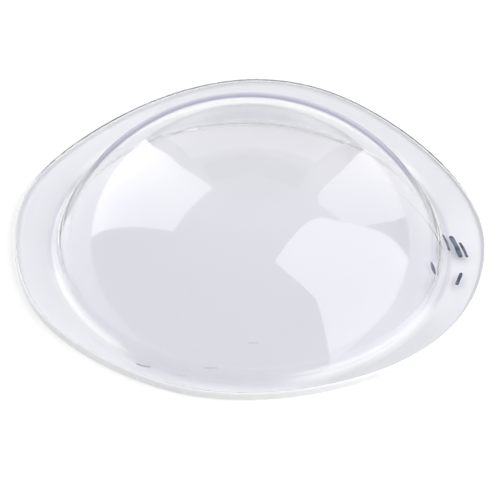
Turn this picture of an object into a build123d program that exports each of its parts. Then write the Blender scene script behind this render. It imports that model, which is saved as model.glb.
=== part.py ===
from build123d import *
import math
import os

# Clear domed lens: one moulded shell, a spherical cap that turns through a
# tight concave bend into a flat, hand-trimmed flange. The rim was trimmed off
# centre, so the flange is narrow at the front and wide at the back.
# Millimetres, +Z up. The flange rests on the plane z = 0 and the origin is the
# middle of the footprint.

# --- driving dimensions ----------------------------------------------------
dome_outer_radius = 35.25     # radius of the outer spherical face
dome_wall = 1.00              # wall, thinner than the flange
flange_thickness = 1.50       # flat rim
centre_below_flange = 12.10   # sphere centre, below the flange's top face
outer_fillet = 2.50           # concave bend, dome to flange, upper side
inner_fillet = 3.00           # the same bend on the underside
rim_offset = 2.50             # how far the rim's middle lies behind the dome's axis
edge_round_top = 0.45         # worn upper rim edge
edge_round_bottom = 0.30      # worn lower rim edge
blank_radius = 46.0           # moulded sheet before its rim was trimmed

# The rim was trimmed by hand and is not round. Its radius from its own middle,
# every 15 degrees, from +X towards +Y.
rim_radii = [
    40.45, 39.90, 39.20, 39.20, 40.25, 41.75, 42.05, 40.75,
    39.30, 38.60, 39.15, 40.25, 40.50, 40.70, 41.00, 40.35,
    39.85, 39.80, 39.40, 39.10, 39.45, 40.20, 40.70, 40.65,
]

# --- section of the shell, in the XZ plane -----------------------------------
t = flange_thickness
zc = t - centre_below_flange          # height of the sphere's centre
ro = dome_outer_radius
ri = ro - dome_wall

# Upper fillet: its arc touches the flange's top face and the outer sphere.
oz = t + outer_fillet
ox = math.sqrt((ro + outer_fillet) ** 2 - (oz - zc) ** 2)
oa = math.atan2(zc - oz, -ox)         # from the fillet's centre to the sphere's
o_join = (ox + outer_fillet * math.cos(oa), oz + outer_fillet * math.sin(oa))
o_mid_a = (oa + 2 * math.pi + 1.5 * math.pi) / 2
o_mid = (ox + outer_fillet * math.cos(o_mid_a), oz + outer_fillet * math.sin(o_mid_a))

# Lower fillet: its arc touches the underside and the inner sphere.
uz = inner_fillet
ux = math.sqrt((ri + inner_fillet) ** 2 - (uz - zc) ** 2)
ua = math.atan2(zc - uz, -ux)
u_join = (ux + inner_fillet * math.cos(ua), uz + inner_fillet * math.sin(ua))
u_mid_a = (ua + 2 * math.pi + 1.5 * math.pi) / 2
u_mid = (ux + inner_fillet * math.cos(u_mid_a), uz + inner_fillet * math.sin(u_mid_a))


def on_sphere(radius, join):
    """Point of the sphere's meridian halfway from the crown to a joint."""
    a = math.atan2(join[1] - zc, join[0])
    m = (a + math.pi / 2) / 2
    return (radius * math.cos(m), zc + radius * math.sin(m))


with BuildPart() as lens_bp:
    with BuildSketch(Plane.XZ):
        with BuildLine():
            ThreePointArc((0, zc + ro), on_sphere(ro, o_join), o_join)
            ThreePointArc(o_join, o_mid, (ox, t))
            Polyline((ox, t), (blank_radius, t), (blank_radius, 0), (ux, 0))
            ThreePointArc((ux, 0), u_mid, u_join)
            ThreePointArc(u_join, on_sphere(ri, u_join), (0, zc + ri))
            Line((0, zc + ri), (0, zc + ro))
        make_face()
    revolve(axis=Axis.Z)

    # Trim the rim to its irregular outline.
    with BuildSketch(Plane.XY.offset(-1)):
        with BuildLine():
            points = [
                (r * math.cos(math.radians(15 * i)),
                 rim_offset + r * math.sin(math.radians(15 * i)))
                for i, r in enumerate(rim_radii)
            ]
            Spline(*points, periodic=True)
        make_face()
    extrude(amount=40, mode=Mode.INTERSECT)

    # Soften both rim edges: the two long closed curves outside the fillet.
    def rim_edges(height):
        return [
            e for e in lens_bp.edges()
            if e.length > 200
            and abs(e.center().Z - height) < 0.01
            and min(math.hypot(*tuple(e @ (k / 8))[:2]) for k in range(9)) > 35.5
        ]

    fillet(rim_edges(t), edge_round_top)
    fillet(rim_edges(0), edge_round_bottom)

lens = lens_bp.part

# Put the middle of the footprint on the origin.
box = lens.bounding_box()
shift_x = -(box.min.X + box.max.X) / 2
shift_y = -(box.min.Y + box.max.Y) / 2
lens = lens.moved(Location((shift_x, shift_y, -box.min.Z)))

os.makedirs("parts", exist_ok=True)
export_step(lens, "parts/lens.step")

crown = zc + ro
print("dome axis at", round(shift_x, 3), round(shift_y, 3), "rim middle at", round(shift_x, 3), round(shift_y + rim_offset, 3))
print("crown height", round(crown, 3), "fillet ends at radius", round(ox, 3), round(ux, 3))
print("upper joint", [round(v, 3) for v in o_join], "lower joint", [round(v, 3) for v in u_join])
print("volume mm3", round(lens.volume, 1), "valid", lens.is_valid)
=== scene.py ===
import math

import bmesh
import bpy
from mathutils import Matrix, Vector


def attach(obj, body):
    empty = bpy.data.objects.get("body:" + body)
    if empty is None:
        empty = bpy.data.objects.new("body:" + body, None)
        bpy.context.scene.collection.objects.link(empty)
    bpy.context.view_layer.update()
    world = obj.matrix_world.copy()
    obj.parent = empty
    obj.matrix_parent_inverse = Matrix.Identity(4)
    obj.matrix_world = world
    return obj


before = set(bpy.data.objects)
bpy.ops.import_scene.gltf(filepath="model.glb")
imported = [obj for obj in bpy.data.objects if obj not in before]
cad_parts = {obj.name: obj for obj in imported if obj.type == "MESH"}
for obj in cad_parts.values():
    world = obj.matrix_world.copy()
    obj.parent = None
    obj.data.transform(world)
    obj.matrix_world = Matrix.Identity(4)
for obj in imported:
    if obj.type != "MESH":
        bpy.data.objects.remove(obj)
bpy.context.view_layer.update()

# ---------------------------------------------------------------- numbers ---
# The lens, in metres, as in the CAD source.
AXIS = Vector((0.000022, -0.003823, 0.0))     # the dome's axis on the floor
RIM_MIDDLE = Vector((0.000022, -0.001323, 0.0))
RO = 0.03525                                  # outer sphere
T = 0.0015                                    # flange
ZC = T - 0.01210                              # sphere centre's height
BEND = 0.0025                                 # bend, dome to flange
FOOT = math.sqrt((RO + BEND) ** 2 - (T + BEND - ZC) ** 2)    # bend meets flange
JOIN = FOOT * RO / (RO + BEND)                               # dome meets bend


def upper_face(r):
    """Height and slope of the lens's upper face at a radius from the axis."""
    if r < JOIN:
        return ZC + math.sqrt(RO * RO - r * r), math.asin(r / RO)
    if r < FOOT:
        a = math.asin((FOOT - r) / BEND)
        return T + BEND - BEND * math.cos(a), a
    return T, 0.0


# ----------------------------------------------------------------- helpers --
def new_material(name):
    m = bpy.data.materials.new(name)
    m.use_nodes = True
    m.node_tree.nodes.clear()
    return m, m.node_tree.nodes, m.node_tree.links


def calc(nodes, links, operation, a, b=None, c=None, clamp=False):
    n = nodes.new("ShaderNodeMath")
    n.operation = operation
    n.use_clamp = clamp
    for i, value in enumerate((a, b, c)):
        if value is None:
            continue
        if isinstance(value, (int, float)):
            n.inputs[i].default_value = value
        else:
            links.new(value, n.inputs[i])
    return n.outputs[0]


def ramp(nodes, links, value, low, high, out_low=0.0, out_high=1.0):
    n = nodes.new("ShaderNodeMapRange")
    n.interpolation_type = "SMOOTHSTEP"
    links.new(value, n.inputs["Value"])
    n.inputs["From Min"].default_value = low
    n.inputs["From Max"].default_value = high
    n.inputs["To Min"].default_value = out_low
    n.inputs["To Max"].default_value = out_high
    return n.outputs["Result"]


def mix_colour(nodes, links, factor, a, b):
    n = nodes.new("ShaderNodeMix")
    n.data_type = "RGBA"
    for socket, value in ((n.inputs[0], factor), (n.inputs[6], a), (n.inputs[7], b)):
        if isinstance(value, (tuple, float)):
            socket.default_value = value
        else:
            links.new(value, socket)
    return n.outputs[2]


def from_axis(nodes, links):
    """Position in the plane, from the dome's axis: x, y and radius sockets."""
    geo = nodes.new("ShaderNodeNewGeometry")
    pos = nodes.new("ShaderNodeSeparateXYZ")
    links.new(geo.outputs["Position"], pos.inputs[0])
    dx = calc(nodes, links, "SUBTRACT", pos.outputs[0], AXIS.x)
    dy = calc(nodes, links, "SUBTRACT", pos.outputs[1], AXIS.y)
    r = calc(nodes, links, "SQRT", calc(
        nodes, links, "ADD", calc(nodes, links, "MULTIPLY", dx, dx),
        calc(nodes, links, "MULTIPLY", dy, dy)))
    return geo, dx, dy, r


# ---------------------------------------------------------- lens material ---
DOME = (0.786, 0.786, 0.828, 1.0)
CROWN_SHADE = (0.742, 0.742, 0.784, 1.0)           # painted shade: darker at the top, to balance the light
FLANGE = (0.884, 0.889, 0.918, 1.0)
FLANGE_SHADED = (0.830, 0.835, 0.860, 1.0)     # painted shade: the flange a little darker in two sectors
# painted light: fully clear, used to lighten the zones below
LIGHT_PAINT = (1.0, 1.0, 1.0, 1.0)
SILHOUETTE_DARK = (0.01, 0.01, 0.10, 1.0)      # painted shade: near black where the dome is seen edge-on
EDGE = (0.95, 0.95, 0.97, 1.0)       # sawn and rubbed rim


def lens_material():
    m, nodes, links = new_material("clear_lens_plastic")
    out = nodes.new("ShaderNodeOutputMaterial")
    p = nodes.new("ShaderNodeBsdfPrincipled")
    geo, dx, dy, r = from_axis(nodes, links)
    nor = nodes.new("ShaderNodeSeparateXYZ")
    links.new(geo.outputs["Normal"], nor.inputs[0])
    # rim: outside the bend, where the face turns upright
    outside = ramp(nodes, links, r, 0.0352, 0.0358)
    upright = ramp(nodes, links, calc(nodes, links, "ABSOLUTE", nor.outputs[2]), 0.995, 0.93)
    rim = calc(nodes, links, "MULTIPLY", outside, upright)
    # frosted as met from the air; from within the plastic it passes light
    rim = calc(nodes, links, "MULTIPLY", rim, calc(nodes, links, "SUBTRACT", 1.0, geo.outputs["Backfacing"]))

    # the narrow rounded edges are shaded by their own faces, so that their far
    # side does not go black
    own = nodes.new("ShaderNodeMix")
    own.data_type = "VECTOR"
    links.new(outside, own.inputs[0])
    links.new(geo.outputs["Normal"], own.inputs[4])
    links.new(geo.outputs["True Normal"], own.inputs[5])
    links.new(own.outputs[1], p.inputs["Normal"])

    facing = nodes.new("ShaderNodeLayerWeight")
    facing.inputs["Blend"].default_value = 0.5
    # painted light: fully clear where the lower dome and bend are seen edge-on
    silhouette_light = calc(nodes, links, "MULTIPLY", ramp(nodes, links, facing.outputs["Facing"], 0.68, 0.76),
                   calc(nodes, links, "MULTIPLY", ramp(nodes, links, r, 0.0283, 0.0303),
                        ramp(nodes, links, r, 0.0356, 0.0348)))
    # painted shade: near black where the upper dome is seen edge-on
    silhouette_shade = ramp(nodes, links, facing.outputs["Facing"], 0.745, 0.79)
    silhouette_shade = calc(nodes, links, "MULTIPLY", silhouette_shade, ramp(nodes, links, r, 0.0303, 0.0280))
    # ... on the outer sphere only, not on the inner one
    pos = nodes.new("ShaderNodeSeparateXYZ")
    links.new(geo.outputs["Position"], pos.inputs[0])
    dz = calc(nodes, links, "SUBTRACT", pos.outputs[2], ZC)
    whole = calc(nodes, links, "SQRT", calc(nodes, links, "ADD", calc(nodes, links, "MULTIPLY", r, r),
                                            calc(nodes, links, "MULTIPLY", dz, dz)))
    silhouette_shade = calc(nodes, links, "MULTIPLY", silhouette_shade, ramp(nodes, links, whole, RO - 0.0006, RO - 0.0003))

    tex = nodes.new("ShaderNodeTexCoord")
    smudge = nodes.new("ShaderNodeTexNoise")
    smudge.inputs["Scale"].default_value = 55.0
    smudge.inputs["Detail"].default_value = 3.0
    links.new(tex.outputs["Object"], smudge.inputs["Vector"])
    rub = nodes.new("ShaderNodeTexNoise")
    rub.inputs["Scale"].default_value = 900.0
    rub.inputs["Detail"].default_value = 2.0
    links.new(tex.outputs["Object"], rub.inputs["Vector"])

    # The colours below differ by zone to balance the light, not because the
    # plastic does: the dome is set denser than the flange.
    beyond = ramp(nodes, links, r, 0.0336, 0.0350)
    angle = calc(nodes, links, "ARCTAN2", dy, dx)
    # painted shade: the flange darker towards the back right and the front right
    flange_shade = calc(nodes, links, "MULTIPLY", ramp(nodes, links, angle, math.radians(2), math.radians(28)),
                  ramp(nodes, links, angle, math.radians(140), math.radians(95)))
    flange_shade = calc(nodes, links, "MAXIMUM", flange_shade, calc(
        nodes, links, "MULTIPLY", ramp(nodes, links, angle, math.radians(-80), math.radians(-58)),
        ramp(nodes, links, angle, math.radians(-20), math.radians(-38))))
    flange = mix_colour(nodes, links, flange_shade, FLANGE, FLANGE_SHADED)
    # painted shade: the crown darker than the rest of the dome
    dome = mix_colour(nodes, links, ramp(nodes, links, r, 0.0085, 0.0165), CROWN_SHADE, DOME)
    colour = mix_colour(nodes, links, beyond, dome, flange)
    # Painted light: the palest crescents where dome and flange meet, towards the front left and right.
    light_crescent = calc(nodes, links, "MULTIPLY", ramp(nodes, links, r, 0.0328, 0.0336),
                ramp(nodes, links, r, 0.0351, 0.0342))
    right = calc(nodes, links, "MULTIPLY", ramp(nodes, links, angle, math.radians(-86), math.radians(-66)),
                 ramp(nodes, links, angle, math.radians(-18), math.radians(-30)))
    left = calc(nodes, links, "MULTIPLY", ramp(nodes, links, angle, math.radians(-172), math.radians(-160)),
                ramp(nodes, links, angle, math.radians(-118), math.radians(-136)))
    left = calc(nodes, links, "MULTIPLY", left, 0.75)
    right = calc(nodes, links, "MULTIPLY", right, 0.75)
    light_crescent = calc(nodes, links, "MULTIPLY", light_crescent, calc(nodes, links, "MAXIMUM", right, left))
    colour = mix_colour(nodes, links, light_crescent, colour, LIGHT_PAINT)
    # Painted light: where two walls are seen one behind the other, the back of the dome is set clearer.
    behind = calc(nodes, links, "MULTIPLY", ramp(nodes, links, angle, math.radians(22), math.radians(48)),
                  ramp(nodes, links, angle, math.radians(158), math.radians(132)))
    behind_span = calc(nodes, links, "MAXIMUM", ramp(nodes, links, r, 0.0215, 0.0255),
                ramp(nodes, links, r, 0.0090, 0.0150, 0.0, 0.42))
    behind = calc(nodes, links, "MULTIPLY", behind, calc(
        nodes, links, "MULTIPLY", behind_span, ramp(nodes, links, r, 0.0356, 0.0348)))
    colour = mix_colour(nodes, links, behind, colour, LIGHT_PAINT)
    colour = mix_colour(nodes, links, silhouette_light, colour, LIGHT_PAINT)
    colour = mix_colour(nodes, links, silhouette_shade, colour, SILHOUETTE_DARK)
    colour = mix_colour(nodes, links, rim, colour, EDGE)
    links.new(colour, p.inputs["Base Color"])

    rough = ramp(nodes, links, smudge.outputs["Fac"], 0.35, 0.75, 0.02, 0.045)
    rim_rough = ramp(nodes, links, rub.outputs["Fac"], 0.3, 0.7, 0.30, 0.55)
    mixed = nodes.new("ShaderNodeMix")
    links.new(rim, mixed.inputs[0])
    links.new(rough, mixed.inputs[2])
    links.new(rim_rough, mixed.inputs[3])
    links.new(mixed.outputs[0], p.inputs["Roughness"])
    # the rounded edges are rubbed white, the upright wall between them less so
    wall = ramp(nodes, links, calc(nodes, links, "ABSOLUTE", nor.outputs[2]), 0.45, 0.20)
    opaque = calc(nodes, links, "MULTIPLY", rim, calc(nodes, links, "MULTIPLY_ADD", wall, -0.08, 0.90))
    links.new(calc(nodes, links, "SUBTRACT", 1.0, opaque), p.inputs["Transmission Weight"])
    p.inputs["IOR"].default_value = 1.49
    links.new(p.outputs[0], out.inputs["Surface"])
    return m


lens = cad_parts["lens"]
lens.data.materials.clear()
lens.data.materials.append(lens_material())
for poly in lens.data.polygons:
    poly.material_index = 0


# --------------------------------------------------------------- pen marks ---
def stroke(bm, points, width, z_low=0.000006, z_high=0.000030, steps=10):
    """A pen line on the upper face: points in millimetres from the axis."""
    pts = [Vector((x, y)) / 1000 for x, y in points]
    if len(pts) == 1:
        pts = [pts[0] - Vector((0, width * 0.18)), pts[0] + Vector((0, width * 0.18))]
    # smooth the polyline with Catmull-Rom
    line = []
    for i in range(len(pts) - 1):
        p0, p1, p2, p3 = pts[max(i - 1, 0)], pts[i], pts[i + 1], pts[min(i + 2, len(pts) - 1)]
        for k in range(steps):
            t = k / steps
            line.append(0.5 * ((2 * p1) + (p2 - p0) * t + (2 * p0 - 5 * p1 + 4 * p2 - p3) * t * t
                               + (3 * p1 - p0 - 3 * p2 + p3) * t ** 3))
    line.append(pts[-1])
    # round ends: the width follows a circle over the first and last half width
    length = [0.0]
    for a, b in zip(line, line[1:]):
        length.append(length[-1] + (b - a).length)
    total = length[-1]
    h = width / 2
    first, last = (line[1] - line[0]).normalized(), (line[-1] - line[-2]).normalized()
    stations = [(line[0] - first * h * math.cos(a), h * math.sin(a), first)
                for a in (math.radians(v) for v in (8, 30, 60))]
    for i, p in enumerate(line):
        d = (line[min(i + 1, len(line) - 1)] - line[max(i - 1, 0)]).normalized()
        wob = 1.0 + 0.06 * math.sin(9.0 * length[i] / max(total, 1e-6) + width * 9e3)
        stations.append((p, h * wob, d))
    stations += [(line[-1] + last * h * math.cos(a), h * math.sin(a), last)
                 for a in (math.radians(v) for v in (60, 30, 8))]
    across = 4
    rows = []
    for p, half, d in stations:
        n = Vector((-d.y, d.x))
        row = []
        for lift in (z_low, z_high):
            for k in range(across + 1):
                q = p + n * half * (2 * k / across - 1)
                r = q.length
                z, slope = upper_face(r)
                up = Vector((math.sin(slope) * q.x / r, math.sin(slope) * q.y / r, math.cos(slope)))
                row.append(bm.verts.new(AXIS + Vector((q.x, q.y, z)) + up * lift))
        rows.append(row)
    c = across + 1
    for a, b in zip(rows, rows[1:]):
        for k in range(across):
            bm.faces.new((a[c + k], b[c + k], b[c + k + 1], a[c + k + 1]))      # top
            bm.faces.new((a[k + 1], b[k + 1], b[k], a[k]))                      # underside
        bm.faces.new((a[0], b[0], b[c], a[c]))
        bm.faces.new((a[across], a[c + across], b[c + across], b[across]))
    for row, flip in ((rows[0], False), (rows[-1], True)):
        loop = row[:c] + row[c:][::-1]
        bm.faces.new(loop if not flip else loop[::-1])


def marks(name, strokes, material):
    bm = bmesh.new()
    for points, width in strokes:
        stroke(bm, points, width)
    bmesh.ops.recalc_face_normals(bm, faces=bm.faces)
    me = bpy.data.meshes.new(name)
    bm.to_mesh(me)
    bm.free()
    me.polygons.foreach_set("use_smooth", [False] * len(me.polygons))
    me.materials.append(material)
    o = bpy.data.objects.new(name, me)
    bpy.context.scene.collection.objects.link(o)
    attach(o, "root")
    return o


def ink_material(name, dark, pale, scale, rough):
    m, nodes, links = new_material(name)
    out = nodes.new("ShaderNodeOutputMaterial")
    p = nodes.new("ShaderNodeBsdfPrincipled")
    tex = nodes.new("ShaderNodeTexCoord")
    n = nodes.new("ShaderNodeTexNoise")
    n.inputs["Scale"].default_value = scale
    n.inputs["Detail"].default_value = 3.0
    links.new(tex.outputs["Object"], n.inputs["Vector"])
    f = ramp(nodes, links, n.outputs["Fac"], 0.35, 0.68)
    links.new(mix_colour(nodes, links, f, dark, pale), p.inputs["Base Color"])
    links.new(ramp(nodes, links, n.outputs["Fac"], 0.3, 0.7, rough, rough + 0.2), p.inputs["Roughness"])
    links.new(p.outputs[0], out.inputs["Surface"])
    return m


ink = ink_material("pen_ink", (0.035, 0.045, 0.080, 1), (0.190, 0.230, 0.320, 1), 700.0, 0.35)
marks("pen_marks", [
    ([(33.05, 3.10), (33.62, 1.64), (34.02, 0.05)], 0.00048),
    ([(34.45, 3.30), (35.25, 1.21), (35.92, -1.30)], 0.00080),
    ([(35.95, 1.90), (36.60, 0.20), (37.05, -1.40)], 0.00048),
    ([(31.05, -7.59)], 0.00095),
    ([(35.98, -5.85), (35.62, -7.13), (35.27, -8.40)], 0.00060),
], ink)
scuff = ink_material("scuff", (0.16, 0.16, 0.24, 1), (0.42, 0.42, 0.52, 1), 500.0, 0.5)
marks("scuffs", [
    ([(-18.07, -30.58), (-17.06, -31.01), (-15.89, -31.19)], 0.00026),
], scuff)
faint = ink_material("scuff_faint", (0.54, 0.54, 0.61, 1), (0.77, 0.77, 0.83, 1), 500.0, 0.5)
marks("scuffs_faint", [
    ([(-13.03, -32.49), (-11.36, -32.89), (-9.70, -33.07)], 0.00010),
    ([(-6.78, -32.08), (-4.80, -32.26)], 0.00010),
    ([(0.18, -30.51), (1.83, -30.45)], 0.00010),
], faint)


# ------------------------------------------------------------------ floor ---
BACK_LEFT, BACK_RIGHT, FRONT_RIGHT = 2.35, 1.7, 2.55      # softbox radiance


def floor():
    me = bpy.data.meshes.new("floor")
    s = 3.0
    me.from_pydata([(-s, -s, -0.00002), (s, -s, -0.00002), (s, s, -0.00002), (-s, s, -0.00002)], [], [(0, 1, 2, 3)])
    o = bpy.data.objects.new("floor", me)
    bpy.context.scene.collection.objects.link(o)
    m, nodes, links = new_material("floor_white")
    out = nodes.new("ShaderNodeOutputMaterial")
    white = nodes.new("ShaderNodeBsdfPrincipled")
    white.inputs["Base Color"].default_value = (0.94, 0.94, 0.94, 1)
    white.inputs["Roughness"].default_value = 0.9
    white.inputs["Specular IOR Level"].default_value = 0.0
    white.inputs["Emission Color"].default_value = (1, 1, 1, 1)
    white.inputs["Emission Strength"].default_value = 0.15     # a table lit a little from below
    links.new(white.outputs[0], out.inputs["Surface"])
    m.cycles.emission_sampling = "NONE"
    me.materials.append(m)
    return o


floor()


# ----------------------------------------------------------------- lights ---
def direction(azimuth, elevation):
    """Azimuth 0 is straight behind the lens (+Y), + to the right."""
    a, e = math.radians(azimuth), math.radians(elevation)
    return Vector((math.sin(a) * math.cos(e), math.cos(a) * math.cos(e), math.sin(e)))


def softbox(name, corners, radiance, distance=1.0):
    """A flat lit panel whose outline, from the lens, runs through the corners."""
    rays = [direction(*c) for c in corners]
    axis = sum(rays, Vector()).normalized()
    centre = AXIS + Vector((0, 0, 0.006))
    bm = bmesh.new()
    bm.faces.new([bm.verts.new(centre + v * (distance / v.dot(axis))) for v in rays])
    bmesh.ops.triangulate(bm, faces=bm.faces)
    me = bpy.data.meshes.new(name)
    bm.to_mesh(me)
    bm.free()
    m, nodes, links = new_material(name)
    out = nodes.new("ShaderNodeOutputMaterial")
    e = nodes.new("ShaderNodeEmission")
    e.inputs["Strength"].default_value = radiance
    links.new(e.outputs[0], out.inputs["Surface"])
    me.materials.append(m)
    o = bpy.data.objects.new(name, me)
    bpy.context.scene.collection.objects.link(o)
    o.visible_camera = False
    return o


softbox("softbox_back_left", [(-26, 0.2), (-31, 12), (-35, 26), (-41, 41), (-49, 65), (-71, 61), (-85, 55),
                              (-95, 49), (-84, 37), (-75, 23), (-67, 7), (-65, 0.2)], BACK_LEFT)
softbox("softbox_back_right", [(27, 0.2), (33, 14), (41, 29), (49, 43), (59, 53), (68, 54), (73, 49),
                               (78, 41), (74, 30), (60, 10), (52, 0.2)], BACK_RIGHT)
softbox("softbox_front_right", [(69, 0.2), (69, 7), (70, 17), (73, 27), (78, 41), (80, 54), (88, 60), (103, 64),
                                (134, 64), (153, 59), (145, 50), (140, 43), (136, 36), (134, 31), (135, 21),
                                (136, 9), (136, 0.2)], FRONT_RIGHT)

softbox("back_wall", [(-24, 3), (-34, 42), (0, 46), (34, 40), (25, 3)], 1.00, 1.1)
softbox("ceiling_gap", [(-34, 48), (0, 50), (38, 48), (50, 62), (0, 66), (-42, 62)], 0.10, 1.1)

world = bpy.data.worlds.new("studio")
bpy.context.scene.world = world
world.use_nodes = True
world.node_tree.nodes["Background"].inputs[0].default_value = (1, 1, 1, 1)
world.node_tree.nodes["Background"].inputs[1].default_value = 0.52

# ----------------------------------------------------------------- camera ---
SEL, CEL = 0.668, math.sqrt(1 - 0.668 ** 2)
SCALE = 0.17148e-3                            # metres a pixel at the lens
DIST = 4130 * SCALE
ref = RIM_MIDDLE + Vector((0, 0, T))
toward = Vector((0, -CEL, SEL))
cam_data = bpy.data.cameras.new("camera")
cam = bpy.data.objects.new("camera", cam_data)
bpy.context.scene.collection.objects.link(cam)
bpy.context.scene.camera = cam
cam_data.sensor_width = 36.0
cam_data.lens = 36.0 * DIST / (500 * SCALE)
cam.location = ref + toward * DIST
# aim so that the reference point lands on pixel (250.5, 234.2)
roll = -0.033
right = Vector((1, 0, 0))
up = Vector((0, SEL, CEL))
right_c = right * math.cos(roll) - up * math.sin(roll)
up_c = right * math.sin(roll) + up * math.cos(roll)
aim = ref - right_c * (0.5 * SCALE) - up_c * (15.8 * SCALE)
fwd = (aim - cam.location).normalized()
right_n = fwd.cross(up_c).normalized()
up_n = right_n.cross(fwd).normalized()
cam.rotation_mode = "QUATERNION"
cam.rotation_quaternion = Matrix((right_n, up_n, -fwd)).transposed().to_quaternion()
cam_data.clip_start, cam_data.clip_end = 0.01, 20.0

bpy.context.scene.cycles.blur_glossy = 0.0     # light keeps its path through clear plastic
bpy.context.scene.view_settings.view_transform = "Standard"
bpy.context.scene.view_settings.look = "None"
